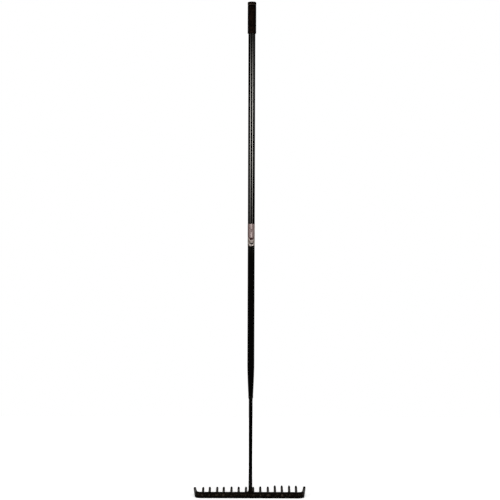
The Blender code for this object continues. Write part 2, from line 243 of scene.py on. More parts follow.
# Paint on the head: brown scale flecks kept to a band along the bar's upper middle as a painted sheen, with
# painted shade left below it, a painted highlight on the teeth's upward faces, and rubbed edges with painted
# highlights on the rivets' upper halves
PAINT_BLACK = (0.0007, 0.0005, 0.0003, 1.0)
PAINT_SCALE_AND_SHEEN = (0.0235, 0.0168, 0.0112, 1.0)
PAINT_TOOTH_TOP_HIGHLIGHT = (0.060, 0.054, 0.046, 1.0)
PAINT_WORN_AND_HIGHLIGHT = (0.052, 0.039, 0.028, 1.0)
PAINT_TINT = (1.0, 0.80, 0.66, 1.0)
PAINT_ROUGHNESS_RAMP = (0.35, 0.70, 0.55, 0.38)
PAINT_SPECULAR = 0.032
SCALE_GRAIN = (0.0040, 5.0)
SCALE_RAMP = (0.47, 0.62)
# Heights of the band of painted sheen on the bar; below it the bar is left darker as painted shade
SHEEN_BAND_BOTTOM_RAMP = (0.0072, 0.0132, 0.04, 1.0)
SHEEN_BAND_TOP_RAMP = (0.0185, 0.0155, 0.3, 1.0)
SCALE_DEPTH = 0.00016
PITTING_GRAIN = (0.0009, 3.0)
PITTING_DEPTH = 0.00004
# Painted highlight on the teeth's upward faces, as if lit from above: by slope, by place along the teeth,
# broken up by the scale grain
TOOTH_HIGHLIGHT_SLOPE_RAMP = (0.45, 0.95)
TOOTH_HIGHLIGHT_START_RAMP = (0.006, 0.014)
TOOTH_HIGHLIGHT_END_RAMP = (0.068, 0.046)
TOOTH_HIGHLIGHT_SCALE_RAMP = (0.30, 0.62, 0.35, 1.0)
# Wear on the sharp edges and a painted highlight on the rivet heads' upper halves share one paler colour and
# grain
WEAR_EDGE_RAMP = (0.52, 0.60)
WEAR_AND_HIGHLIGHT_GRAIN = (0.035, 2.0)
WEAR_AND_HIGHLIGHT_RAMP = (0.40, 0.62, 0.25, 1.0)
WEAR_AND_HIGHLIGHT_SCALE_RAMP = (0.38, 0.62)
# Painted highlight on the rivet heads: their outer part, kept to their upper half where light from above
# falls
RIVET_HIGHLIGHT_SHARES = (0.3, 0.95)
RIVET_HIGHLIGHT_BOTTOM_RAMP = (0.0070, 0.0115, 0.2, 1.0)
RIVET_HIGHLIGHT_TOP_RAMP = (0.0190, 0.0175)

# Vinyl on the grip: grime and painted shade at the joint and a paler band above it, by height from the joint,
# with ragged edges
VINYL_BLACK = (0.0008, 0.0004, 0.0003, 1.0)
VINYL_CLOUDY = (0.0088, 0.0043, 0.0028, 1.0)
VINYL_PALE_RIM = (0.0340, 0.0245, 0.0190, 1.0)
VINYL_GRIME_AND_SHADE = (0.0003, 0.0002, 0.0002, 1.0)
VINYL_TINT = (1.0, 0.62, 0.46, 1.0)
VINYL_SPECULAR = 0.035
VINYL_CLOUD_GRAIN = (0.009, 4.0)
VINYL_CLOUD_RAMP = (0.42, 0.72)
VINYL_MATT_GRAIN = (0.006, 3.0)
VINYL_MATT_RAMP = (0.35, 0.70, 0.46, 0.64)
VINYL_SAND_GRAIN = (0.00045, 2.0)
VINYL_SAND_DEPTH = 0.00003
RAGGED_GRAIN = (0.004, 3.0)
RAGGED_BY = 0.0016
# A paler band on the cap just above the joint
PALE_RIM_BOTTOM_RAMP = (0.0020, 0.0026)
PALE_RIM_TOP_RAMP = (0.0060, 0.0046)
PALE_RIM_CLOUD_RAMP = (-0.5, 0.6, 0.5, 1.0)
# Grime and painted shade in the groove at the joint
GRIME_AND_SHADE_BOTTOM_RAMP = (-0.0042, -0.0030)
GRIME_AND_SHADE_TOP_RAMP = (0.0022, 0.0016)
GRIME_AND_SHADE_ROUGHNESS = 0.9

# Film of the label: places across it and up it are shares of its span and of its height
FILM_GREYS = ((0.172, 0.116, 0.107, 1.0), (0.236, 0.164, 0.154, 1.0))
FILM_PALES = ((0.54, 0.43, 0.41, 1.0), (0.64, 0.53, 0.50, 1.0))
# Painted sheen: the film is paler towards one side, and so is its lower end
FILM_SHEEN = (0.62, 0.52, 0.49, 1.0)
FILM_LOWER_END = ((0.205, 0.166, 0.142, 1.0), (0.62, 0.55, 0.51, 1.0))
FILM_METALLIC = 0.15
FILM_GREY_GRAIN = (0.004, 3.0)
FILM_PALE_GRAIN = (0.006, 2.0)
FILM_ROUGHNESS_GRAIN = (0.008, 3.0)
FILM_ROUGHNESS_RAMP = (0.35, 0.70, 0.34, 0.46)
FILM_WAVE_GRAIN = (0.007, 2.0)
FILM_WAVE_DEPTH = 0.00005
# Where the painted sheen on one side of the film starts and ends, across it
SHEEN_SIDE_RAMP = (0.15, 0.32, 0.0, 0.75)
LOWER_END_RAMP = (0.282, 0.270)
PRINT_BOW = -1.2
STRIPE_SHIFT = 0.026
STRIPE_RAMP = (0.052, 0.026)
STRIPE_BREAK = 0.692
STRIPE_BREAK_RAMP = (0.058, 0.088, 0.1, 1.0)

# Bands across the lower end, from the top down: top, bottom, colour and half width, with soft side edges
FILM_BANDS = (
    (0.374, 0.264, (0.032, 0.003, 0.002, 1.0), 0.17),
    (0.264, 0.212, (0.390, 0.330, 0.298, 1.0), 0.36),
    (0.212, 0.134, (0.310, 0.258, 0.230, 1.0), 0.05),
    (0.134, 0.076, (0.010, 0.007, 0.006, 1.0), 0.13),
    (0.058, 0.0, (0.560, 0.490, 0.455, 1.0), 0.36),
)
FILM_BAND_EDGE = 0.03

# Studio: a white backdrop in directions behind the tool, a dim room, and paper that is darker near the tool
WHITE = (1.0, 1.0, 1.0, 1.0)
BACKDROP_RAMP = (0.75, 0.92, 0.02, 1.0)
PAPER_COLOUR = (0.85, 0.85, 0.85, 1.0)
PAPER_GLOW_RAMP = (0.15, 0.8, 0.52, 1.0)
FLOOR_HALF_SIZE = 1.5
FLOOR_PLACE = (0, 0.9, 0)


class Nodes:
    """Builds a node tree a step at a time. Each method returns the output of the node that it adds."""

    def __init__(self, tree):
        self.tree = tree

    def connect(self, socket, value):
        if isinstance(value, bpy.types.NodeSocket):
            self.tree.links.new(value, socket)
        else:
            socket.default_value = value

    def add(self, kind, inputs=None, output=0, **settings):
        node = self.tree.nodes.new(kind)
        for name, value in settings.items():
            setattr(node, name, value)
        for key, value in (inputs or {}).items():
            self.connect(node.inputs[key], value)
        return node.outputs[output]

    def maths(self, operation, first, second=0.0):
        return self.add("ShaderNodeMath", {0: first, 1: second}, operation=operation)

    def product(self, first, *others):
        for other in others:
            first = self.maths("MULTIPLY", first, other)
        return first

    def ranged(self, value, start, end, low=0.0, high=1.0):
        """Eases from low to high as the value goes from start to end, and holds there."""
        inputs = {"Value": value, "From Min": start, "From Max": end, "To Min": low, "To Max": high}
        return self.add("ShaderNodeMapRange", inputs, "Result", interpolation_type="SMOOTHSTEP")

    def blended(self, factor, first, second):
        """A colour from first to second, which are the Mix node's sockets 6 and 7 for colours."""
        return self.add("ShaderNodeMix", {0: factor, 6: first, 7: second}, 2, data_type="RGBA")

    def axis(self, vector, name):
        return self.add("ShaderNodeSeparateXYZ", {0: vector}, name)


class Finish(Nodes):
    """A material on the Principled shader, in the frame's own metres."""

    def __init__(self, name):
        self.material = bpy.data.materials.new(name)
        self.material.use_nodes = True
        super().__init__(self.material.node_tree)
        self.shader = self.tree.nodes["Principled BSDF"]
        self.place = self.add("ShaderNodeTexCoord", output="Object")

    def feed(self, name, value):
        self.connect(self.shader.inputs[name], value)

    def grain(self, size, detail, stretch=(1, 1, 1)):
        """Noise with features of about that size in metres, longer along an axis with more stretch."""
        scale = [1 / (size * more) for more in stretch]
        scaled = self.add("ShaderNodeMapping", {"Vector": self.place, "Scale": scale})
        return self.add("ShaderNodeTexNoise", {"Vector": scaled, "Scale": 1.0, "Detail": detail})

    def raised(self, height, depth, normal=None):
        inputs = {"Height": height, "Strength": 1.0, "Distance": depth}
        if normal:
            inputs["Normal"] = normal
        return self.add("ShaderNodeBump", inputs)


def enamel(name, roughness, specular):
    """Sprayed black enamel: faint orange peel, and cloudy smudges that dull the gloss."""
    finish = Finish(name)
    cloud = finish.ranged(finish.grain(*ENAMEL_CLOUD_GRAIN), *ENAMEL_CLOUD_RAMP)
    finish.feed("Base Color", finish.blended(cloud, ENAMEL_BLACK, ENAMEL_CLOUDY))
    smudge = finish.grain(*ENAMEL_SMUDGE_GRAIN)
    finish.feed("Roughness", finish.ranged(smudge, *ENAMEL_SMUDGE_RAMP, *roughness))
    finish.feed("Specular IOR Level", specular)
    finish.feed("Specular Tint", ENAMEL_TINT)
    peel = finish.raised(finish.grain(*ORANGE_PEEL_GRAIN), ORANGE_PEEL_DEPTH)
    finish.feed("Normal", finish.raised(finish.grain(*FINE_PEEL_GRAIN), FINE_PEEL_DEPTH, peel))
    return finish.material


def forged_paint(name):
    """Dull black paint over forged steel: brown scale flecks in a painted sheen band along the bar, a painted
    highlight on the teeth's tops, rubbed edges, and painted highlights on the rivets' upper halves.
    """
    finish = Finish(name)
    along_teeth, height = [finish.axis(finish.place, axis) for axis in ("Y", "Z")]
    scale = finish.grain(*SCALE_GRAIN)
    # Painted sheen: the scale flecks only show in a band along the bar's upper middle, with painted shade
    # left below it
    sheen_band = finish.product(finish.ranged(height, *SHEEN_BAND_BOTTOM_RAMP), finish.ranged(height, *SHEEN_BAND_TOP_RAMP))
    scale_and_sheen_flecks = finish.product(finish.ranged(scale, *SCALE_RAMP), sheen_band)
    colour = finish.blended(scale_and_sheen_flecks, PAINT_BLACK, PAINT_SCALE_AND_SHEEN)

    # Painted highlight: the teeth's upward-facing faces are made paler, as if they caught the light from
    # above
    slope = finish.axis(finish.add("ShaderNodeNewGeometry", output="Normal"), "Z")
    on_teeth = finish.product(
        finish.ranged(along_teeth, *TOOTH_HIGHLIGHT_START_RAMP),
        finish.ranged(along_teeth, *TOOTH_HIGHLIGHT_END_RAMP),
    )
    lit_tooth_tops = finish.product(
        finish.ranged(slope, *TOOTH_HIGHLIGHT_SLOPE_RAMP),
        on_teeth,
        finish.ranged(scale, *TOOTH_HIGHLIGHT_SCALE_RAMP),
    )
    colour = finish.blended(lit_tooth_tops, colour, PAINT_TOOTH_TOP_HIGHLIGHT)

    # Wear on the sharp edges, and a painted highlight on the upper half of each rivet head, in the same paler
    # colour
    pointed = finish.ranged(finish.add("ShaderNodeNewGeometry", output="Pointiness"), *WEAR_EDGE_RAMP)
    rivet_foot, rivet_top = [-(BEAM_THICKNESS / 2 + RIVET_HEIGHT * share) for share in RIVET_HIGHLIGHT_SHARES]
    lit_rivet_tops = finish.product(
        finish.ranged(along_teeth, rivet_foot, rivet_top),
        finish.ranged(height, *RIVET_HIGHLIGHT_TOP_RAMP),
        finish.ranged(height, *RIVET_HIGHLIGHT_BOTTOM_RAMP),
    )
    worn_and_lit = finish.product(
        finish.maths("MAXIMUM", pointed, lit_rivet_tops),
        finish.ranged(finish.grain(*WEAR_AND_HIGHLIGHT_GRAIN), *WEAR_AND_HIGHLIGHT_RAMP),
        finish.ranged(scale, *WEAR_AND_HIGHLIGHT_SCALE_RAMP),
    )
    finish.feed("Base Color", finish.blended(worn_and_lit, colour, PAINT_WORN_AND_HIGHLIGHT))

    finish.feed("Roughness", finish.ranged(scale, *PAINT_ROUGHNESS_RAMP))
    finish.feed("Specular IOR Level", PAINT_SPECULAR)
    finish.feed("Specular Tint", PAINT_TINT)
    forged = finish.raised(scale, SCALE_DEPTH)
    finish.feed("Normal", finish.raised(finish.grain(*PITTING_GRAIN), PITTING_DEPTH, forged))
    return finish.material


def vinyl(name, joint):
    """Moulded black vinyl: warm, matt and sandy, with grime and painted shade at the joint at that height,
    and a paler band above it.
    """
    finish = Finish(name)
    cloud = finish.ranged(finish.grain(*VINYL_CLOUD_GRAIN), *VINYL_CLOUD_RAMP)
    colour = finish.blended(cloud, VINYL_BLACK, VINYL_CLOUDY)
    above_joint = finish.maths("SUBTRACT", finish.axis(finish.place, "Z"), joint)
    uneven = finish.product(finish.grain(*RAGGED_GRAIN), RAGGED_BY)
    ragged = finish.maths("ADD", above_joint, finish.maths("SUBTRACT", uneven, RAGGED_BY / 2))

    # A paler band on the cap just above the joint, broken up by the cloud grain
    rim = finish.product(finish.ranged(ragged, *PALE_RIM_BOTTOM_RAMP), finish.ranged(ragged, *PALE_RIM_TOP_RAMP))
    pale_rim = finish.product(rim, finish.ranged(cloud, *PALE_RIM_CLOUD_RAMP))
    colour = finish.blended(pale_rim, colour, VINYL_PALE_RIM)
    # Grime and painted shade darken the groove at the joint
    grime_and_shade = finish.product(
        finish.ranged(above_joint, *GRIME_AND_SHADE_TOP_RAMP),
        finish.ranged(ragged, *GRIME_AND_SHADE_BOTTOM_RAMP),
    )
    finish.feed("Base Color", finish.blended(grime_and_shade, colour, VINYL_GRIME_AND_SHADE))

    matt = finish.ranged(finish.grain(*VINYL_MATT_GRAIN), *VINYL_MATT_RAMP)
    finish.feed("Roughness", finish.maths("MAXIMUM", matt, finish.product(grime_and_shade, GRIME_AND_SHADE_ROUGHNESS)))
    finish.feed("Specular IOR Level", VINYL_SPECULAR)
    finish.feed("Specular Tint", VINYL_TINT)
    finish.feed("Normal", finish.raised(finish.grain(*VINYL_SAND_GRAIN), VINYL_SAND_DEPTH))
    return finish.material


def printed_film(name):
    """Silver-grey film, paler on one side as a painted sheen, with a pale broken stripe and bands across its
    lower end.
    """
    finish = Finish(name)
    print_place = finish.add("ShaderNodeUVMap", uv_map="print")
    across = finish.maths("SUBTRACT", finish.axis(print_place, "X"), 0.5)
    aside = finish.maths("ABSOLUTE", across)
    up = finish.maths("ADD", finish.axis(print_place, "Y"), finish.product(across, across, PRINT_BOW))

    # Painted sheen: paler towards one side of the film, on its lower end too
    sheen_side = finish.ranged(across, *SHEEN_SIDE_RAMP)
    grey = finish.blended(sheen_side, finish.blended(finish.grain(*FILM_GREY_GRAIN), *FILM_GREYS), FILM_SHEEN)
    pale = finish.blended(finish.grain(*FILM_PALE_GRAIN), *FILM_PALES)
    from_stripe = finish.maths("ABSOLUTE", finish.maths("ADD", across, STRIPE_SHIFT))
    from_break = finish.maths("ABSOLUTE", finish.maths("SUBTRACT", up, STRIPE_BREAK))
    stripe = finish.product(
        finish.ranged(from_stripe, *STRIPE_RAMP),
        finish.ranged(from_break, *STRIPE_BREAK_RAMP),
    )
    colour = finish.blended(stripe, grey, pale)
    lower_end = finish.blended(sheen_side, *FILM_LOWER_END)
    colour = finish.blended(finish.ranged(up, *LOWER_END_RAMP), colour, lower_end)
    for top, bottom, ink, half_width in FILM_BANDS:
        within = finish.product(
            finish.maths("LESS_THAN", up, top),
            finish.maths("GREATER_THAN", up, bottom),
            finish.ranged(aside, half_width, half_width + FILM_BAND_EDGE, 1.0, 0.0),
        )
        colour = finish.blended(within, colour, ink)
    finish.feed("Base Color", colour)

    finish.feed("Metallic", FILM_METALLIC)
    finish.feed("Roughness", finish.ranged(finish.grain(*FILM_ROUGHNESS_GRAIN), *FILM_ROUGHNESS_RAMP))
    finish.feed("Normal", finish.raised(finish.grain(*FILM_WAVE_GRAIN), FILM_WAVE_DEPTH))
    return finish.material


def blend(start, end, share):
    return start + (end - start) * share


def steps(start, end, spacing):
    """Evenly spaced numbers from start to end, both included, about that spacing apart."""
    count = max(1, round(abs(end - start) / spacing))
    return [blend(start, end, i / count) for i in range(count + 1)]


def turns_round(sides):
    """Evenly spaced angles once round."""
    return [2 * pi * i / sides for i in range(sides)]


def quarter_turns(count):
    """Evenly spaced angles from 0 to a right angle, both included."""
    return [pi / 2 * i / count for i in range(count + 1)]


def circle(radius, height, sides):
    return [Vector((radius * cos(turn), radius * sin(turn), height)) for turn in turns_round(sides)]


def quarter_round(radius, height, corner, upward, count=ROUND_STEPS):
    """A quarter round on a turned section, from its end face out to its side. upward is 1 on a lower end."""
    return [
        (radius - corner * (1 - sin(turn)), height + upward * corner * (1 - cos(turn)))
        for turn in quarter_turns(count)
    ]


def skinned(rings, looped=False):
    """Rings of the same number of points, joined in turn. The ends are capped, or joined if it is looped."""
    bm = bmesh.new()
    loops = [[bm.verts.new(point) for point in ring] for ring in rings]
    pairs = list(zip(loops, loops[1:]))
    if looped:
        pairs.append((loops[-1], loops[0]))
    else:
        bm.faces.new(loops[0])
        bm.faces.new(loops[-1])
    for near, far in pairs:
        for i in range(len(near)):
            k = (i + 1) % len(near)
            bm.faces.new((near[i], near[k], far[k], far[i]))
    bmesh.ops.recalc_face_normals(bm, faces=bm.faces)
    return bm


def roughened(bm, size, depth, seed=0.0):
    """Moves each point along its normal by smooth noise, as hammering and drawing out do."""
    bm.normal_update()
    shift = Vector([seed * share for share in SEED_DIRECTION])
    moves = [vert.normal * (depth * noise.noise(vert.co / size + shift)) for vert in bm.verts]
    for vert, move in zip(bm.verts, moves):
        vert.co += move
    return bm


def dress(name, bm, material, node, offset=(0, 0, 0)):
    """Puts a piece in the scene in place of its solid."""
    bmesh.ops.translate(bm, verts=bm.verts, vec=offset)
    mesh = bpy.data.meshes.new(name)
    bm.to_mesh(mesh)
    bm.free()
    mesh.materials.append(material)
    mesh.shade_smooth()
    mesh.set_sharp_from_angle(angle=SHARP_ANGLE)
    piece = bpy.data.objects.new(name, mesh)
    bpy.context.scene.collection.objects.link(piece)
    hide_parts(node)
    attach(piece, "root")


def rise_arc(rise):
    """The radius and the full angle of the arc that lifts a tooth by the rise over its reach."""
    return (TOOTH_REACH**2 + rise**2) / (2 * rise), 2 * TOOTH_REACH * rise / (TOOTH_REACH**2 + rise**2)


def tooth_size(share):
    """Width and depth of a tooth at a share of its reach: a slow taper, then a short blunt point."""
    if share <= TOOTH_POINT_FROM:
        return [blend(root, neck, share / TOOTH_POINT_FROM) for root, neck in zip(TOOTH_ROOT, TOOTH_NECK)]
    along = ((share - TOOTH_POINT_FROM) / (1 - TOOTH_POINT_FROM)) ** TOOTH_POINT_FULLNESS
    return [blend(neck, tip, along) for neck, tip in zip(TOOTH_NECK, TOOTH_TIP)]


def tooth_ring(share, rise, flare=0.0, shrink=1.0):
    """A rounded square section across a tooth's arc."""
    radius, full = rise_arc(rise)
    bend = full * share
    centre = Vector((0, BEAM_THICKNESS / 2 - BITE + radius * sin(bend), radius * (1 - cos(bend))))
    upward = Vector((0, -sin(bend), cos(bend)))
    width, depth = tooth_size(share)
    ring = []
    for turn in turns_round(TOOTH_SIDES):
        corner = abs(cos(turn)) ** TOOTH_SQUARENESS + abs(sin(turn)) ** TOOTH_SQUARENESS
        out = shrink * corner ** (-1 / TOOTH_SQUARENESS)
        across = (width / 2 + flare) * out * cos(turn)
        up = (depth / 2 + flare) * out * sin(turn)
        ring.append(centre + Vector((across, 0, 0)) + upward * up)
    return ring


def upright_ring(radius, y):
    """A circle about the Y axis, with as many points as a tooth's section."""
    return [Vector((radius * cos(turn), y, radius * sin(turn))) for turn in turns_round(TOOTH_SIDES)]


def forged_tooth(rise, seed):
    """Peened rivet head, tenon, upset shoulder and drawn-out spike in one skin."""
    back, front = -BEAM_THICKNESS / 2 + BITE, BEAM_THICKNESS / 2 - BITE
    rings = []
    for turn in quarter_turns(RIVET_STEPS)[1:-1]:
        across, out = [part ** (2 / RIVET_FULLNESS) for part in (sin(turn), cos(turn))]
        rings.append(upright_ring(RIVET_RADIUS * across, back - BITE - RIVET_HEIGHT * out))
    tenon = ((RIVET_RADIUS, back - BITE), (RIVET_RADIUS, back), (TENON_RADIUS, back), (TENON_RADIUS, front))
    rings += [upright_ring(radius, y) for radius, y in tenon]
    for share in steps(*SHOULDER_SECTIONS):
        rings.append(tooth_ring(share, rise, TOOTH_FLARE * cos(pi / 2 * share / SHOULDER_END)))
    rings += [tooth_ring(share, rise) for share in steps(*SPIKE_SECTIONS)]
    rings += [tooth_ring(share, rise, shrink=shrink) for share, shrink in BLUNT_END]
    bm = skinned(rings)
    for size, depth in TOOTH_WAVES:
        roughened(bm, size, depth, seed)
    return bm


def tooth_place(number):
    """The distance along the beam from its middle to an inner tooth, counted from 1."""
    return (number - (TOOTH_COUNT + 1) / 2) * TOOTH_PITCH + TOOTH_SHIFTS[number - 1]


def add_teeth(material):
    for number in range(1, TOOTH_COUNT + 1):
        tooth = forged_tooth(TOOTH_RISES[number - 1], TOOTH_SEED_STEP * number)
        offset = (BEAM_OFFSET + tooth_place(number), 0, BEAM_HEIGHT / 2)
        name = f"tooth_{number:02d}"
        dress("forged_" + name, tooth, material, name, offset)


def bar_section(width, height):
    """Points round a bar's section with rounded corners and divided sides, as (across, up) pairs."""
    corner = min(BEAM_EDGE_RADIUS, width * BEAM_EDGE_LIMIT, height * BEAM_EDGE_LIMIT)
    points = []
    for quarter, divisions in enumerate(BEAM_SIDE_STEPS):
        side_x = 1 if quarter in (0, 3) else -1
        side_y = 1 if quarter in (0, 1) else -1
        for i in range(BEAM_CORNER_STEPS + 1):
            turn = (quarter + i / BEAM_CORNER_STEPS) * pi / 2
            across = side_x * (width / 2 - corner) + corner * cos(turn)
            up = side_y * (height / 2 - corner) + corner * sin(turn)
            points.append((across, up))
        run = (width if quarter % 2 == 0 else height) - 2 * corner
        ahead = (quarter + 1) * pi / 2
        for i in range(1, divisions):
            step = run * i / divisions
            points.append((across - sin(ahead) * step, up + cos(ahead) * step))
    return points


def beam_ring(centre, heading, height=BEAM_HEIGHT, thickness=BEAM_THICKNESS):
    """A section of the bar, square to its heading in plan, for the right half of the beam."""
    sideways = Vector((-sin(heading), cos(heading), 0))
    return [centre + sideways * across + Vector((0, 0, up)) for across, up in bar_section(thickness, height)]


def end_tooth_rings(root, heading, rise):
    """The end of the bar past its bend, drawn down evenly to a tooth and lifted as the inner teeth are."""
    forward = Vector((cos(heading), sin(heading), 0))
    reach = (BEAM_THICKNESS / 2 + TOOTH_REACH - root.y) / sin(heading)
    arc_radius = rise_arc(rise)[0]
    rings = []
    for share in steps(END_TOOTH_SPACING, 1.0, END_TOOTH_SPACING):
        centre = root + forward * (reach * share)
        past_face = max(centre.y - BEAM_THICKNESS / 2, 0.0)
        centre.z += arc_radius - sqrt(arc_radius**2 - past_face**2)
        drawn = min(share / END_TOOTH_SHOULDER, 1.0)
        height = blend(BEAM_HEIGHT, END_TOOTH_NECK[1], drawn)
        thickness = blend(BEAM_THICKNESS, END_TOOTH_NECK[0], drawn)
        if share > END_TOOTH_SHOULDER:
            pointed = ((share - END_TOOTH_SHOULDER) / (1 - END_TOOTH_SHOULDER)) ** TOOTH_POINT_FULLNESS
            height = blend(height, TOOTH_TIP[1], pointed)
            thickness = blend(thickness, TOOTH_TIP[0], pointed)
        rings.append(beam_ring(centre, heading, height, thickness))
    return rings


def half_beam_rings(end_rise):
    """Sections from the beam's middle out to the tip of its right end tooth."""
    bend = pi / 2 - END_TOOTH_SPLAY
    bend_start = BEAM_WIDTH / 2 - BEAM_THICKNESS / 2 - BEND_RADIUS * sin(bend)
    middle_height = BEAM_HEIGHT / 2
    straight = steps(0.0, bend_start, BEAM_SPACING)
    rings = [beam_ring(Vector((along, 0, middle_height)), 0) for along in straight]
    for heading in steps(0.0, bend, bend / BEND_STEPS)[1:]:
        across = BEND_RADIUS * (1 - cos(heading))
        root = Vector((bend_start + BEND_RADIUS * sin(heading), across, middle_height))
        rings.append(beam_ring(root, heading))
    return rings + end_tooth_rings(root, bend, end_rise)


def tenon_drills():
    """The rods that the beam's tenon holes are cut with."""
    bm = bmesh.new()
    across_beam = Matrix.Rotation(pi / 2, 4, "X")
    radius = TENON_RADIUS + BITE / 2
    for number in range(1, TOOTH_COUNT + 1):
        place = Matrix.Translation((tooth_place(number), 0, BEAM_HEIGHT / 2)) @ across_beam
        size = {"radius1": radius, "radius2": radius, "depth": DRILL_LENGTH}
        bmesh.ops.create_cone(bm, cap_ends=True, segments=TOOTH_SIDES, matrix=place, **size)
    return bm


def cut_through(bm, cutter):
    """The mesh with the cutter's shapes taken away."""
    objects = []
    for name, source in (("whole", bm), ("cutter", cutter)):
        mesh = bpy.data.meshes.new(name)
        source.to_mesh(mesh)
        source.free()
        objects.append(bpy.data.objects.new(name, mesh))
        bpy.context.scene.collection.objects.link(objects[-1])
    whole, drill = objects
    modifier = whole.modifiers.new("cut", "BOOLEAN")
    modifier.operation = "DIFFERENCE"
    modifier.object = drill
    result = bmesh.new()
    result.from_object(whole, bpy.context.evaluated_depsgraph_get())
    bmesh.ops.remove_doubles(result, verts=result.verts, dist=MERGE_DISTANCE)
    many_sided = [face for face in result.faces if len(face.verts) > 4]
    bmesh.ops.triangulate(result, faces=many_sided, ngon_method="BEAUTY")
    for obj in objects:
        bpy.data.objects.remove(obj)
    return result


def add_beam(material):
    """The bar with both its end teeth. Its lower edge stays flat where the hammering would push it down."""
    left, right = [half_beam_rings(rise) for rise in END_TOOTH_RISES]
    left = [[Vector((-point.x, point.y, point.z)) for point in ring] for ring in left[1:]]
    bm = skinned(left[::-1] + right)
    for size, depth, seed in BEAM_WAVES:
        roughened(bm, size, depth, seed)
    for vert in bm.verts:
        vert.co.z = max(vert.co.z, 0.0)
    bm = cut_through(bm, tenon_drills())
    dress("forged_beam", bm, material, "rake_beam", (BEAM_OFFSET, 0, 0))


def ripple(turn, up, seed):
    """The height of a weld's crescent ripples at a turn round the bead and a share of its height."""
    bent = WELD_RIPPLE_BEND * cos(up * pi)
    wave = turn * WELD_RIPPLES + bent + WELD_RIPPLE_WANDER * noise.noise(Vector((turn, up, seed)))
    return WELD_RIPPLE_DEPTH * (abs(sin(wave / 2)) - 0.5)


def add_head_weld(material):
    """A rippled, slightly lumpy fillet round the neck's foot that laps over both faces of the beam."""
    rings = []
    for up, out in HEAD_WELD_OUTLINE:
        height = blend(HEAD_WELD_BOTTOM, HEAD_WELD_TOP, up)
        ring = []
        for turn in turns_round(HEAD_WELD_SIDES):
            around = Vector((HEAD_WELD_LUMP_TURN * cos(turn), HEAD_WELD_LUMP_TURN * sin(turn), up))
            rippled = ripple(turn, up, HEAD_WELD_SEED) * min(1.0, HEAD_WELD_FADE * (1 - up))
            lump = rippled + HEAD_WELD_LUMP * out * noise.noise(around)
            reach_x, reach_y = [blend(NECK_RADIUS, most, out) + lump for most in HEAD_WELD_REACH]
            ring.append(Vector((reach_x * cos(turn), reach_y * sin(turn), height + HEAD_WELD_LIFT * lump)))
        rings.append(ring)
    dress("weld_at_head", skinned(rings), material, "head_weld")


def add_mouth_weld(material):
    """The rippled bead that runs from the tube's mouth down onto the neck."""
    low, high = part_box("mouth_weld")
    rings = []
    for up, out in MOUTH_WELD_OUTLINE:
        height = blend(low.z, high.z + BITE, up)
        fade = min(1.0, MOUTH_WELD_FADE[0] * up + MOUTH_WELD_FADE[1])
        ring = []
        for turn in turns_round(MOUTH_WELD_SIDES):
            radius = blend(NECK_RADIUS, MOUTH_RADIUS, out) + ripple(turn, up, MOUTH_WELD_SEED) * fade
            ring.append(Vector((radius * cos(turn), radius * sin(turn), height)))
        rings.append(ring)
    dress("weld_at_mouth", skinned(rings), material, "mouth_weld")


def add_neck(material):
    low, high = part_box("neck_rod")
    heights = steps(low.z - BITE, high.z - NECK_BEVEL, NECK_SPACING)
    rings = [circle(NECK_RADIUS, height, NECK_SIDES) for height in heights]
    rings.append(circle(NECK_RADIUS - NECK_BEVEL, high.z, NECK_SIDES))
    bm = roughened(skinned(rings), *NECK_WAVES)
    dress("round_neck", bm, material, "neck_rod")


def add_tube(material):
    """The outside runs from the mouth up the swaged taper, and the wall thins as the tube widens."""
    low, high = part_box("handle_tube")
    outside = quarter_round(MOUTH_RADIUS, low.z, MOUTH_LIP, 1, MOUTH_LIP_STEPS)
    for share in steps(0.0, 1.0, TAPER_SPACING):
        fuller = share * (1 + TAPER_FULLNESS * (1 - share))
        height = blend(low.z + MOUTH_LENGTH, TAPER_TOP, share)
        outside.append((blend(MOUTH_RADIUS, TUBE_RADIUS, fuller), height))
    outside += [(TUBE_RADIUS, height) for height in steps(TAPER_TOP, high.z, TUBE_SPACING)[1:]]
    inside = []
    for radius, height in outside:
        share = max(0.0, radius - MOUTH_RADIUS) / (TUBE_RADIUS - MOUTH_RADIUS)
        inside.append((radius - blend(MOUTH_RADIUS - NECK_RADIUS - BITE, TUBE_WALL, share), height))
    inside[0] = (inside[0][0], low.z)
    rings = [circle(radius, height, TUBE_SIDES) for radius, height in outside + inside[::-1]]
    dress("swaged_tube", skinned(rings, looped=True), material, "handle_tube")


def diamond_groove(turn, height):
    """How deep the sleeve's moulded diamonds are cut at a turn and a height, from 0 to 1."""
    depth = 0.0
    for lean in (1, -1):
        phase = turn * DIAMONDS_ROUND / (2 * pi) + lean * height / DIAMOND_HEIGHT
        from_line = abs(phase - round(phase))
        depth = max(depth, 1 - min(1.0, (from_line / DIAMOND_GROOVE_WIDTH)) ** 2)
    return depth


def add_sleeve(material):
    """The moulded sleeve: a plain bore, a rounded lower lip, and shallow diamonds between plain ends."""
    low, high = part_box("grip_sleeve")
    bore = TUBE_RADIUS + BITE
    outside = quarter_round(SLEEVE_RADIUS, low.z, SLEEVE_LIP_RADIUS, 1)
    heights = steps(low.z + SLEEVE_SIDE_START, high.z - JOINT_CHAMFER, SLEEVE_SPACING)
    outside += [(SLEEVE_RADIUS, height) for height in heights]
    outside += [(SLEEVE_RADIUS - JOINT_CHAMFER, high.z), (bore, high.z), (bore, low.z)]
    rings = []
    for radius, height in outside:
        from_end = min(height - low.z, high.z - height) - DIAMOND_MARGIN
        patterned = DIAMOND_GROOVE * max(0.0, min(1.0, from_end / DIAMOND_FADE))
        ring = []
        for turn in turns_round(SLEEVE_SIDES):
            out = radius - patterned * diamond_groove(turn, height)
            ring.append(Vector((out * cos(turn), out * sin(turn), height)))
        rings.append(ring)
    dress("vinyl_sleeve", skinned(rings, looped=True), material, "grip_sleeve")


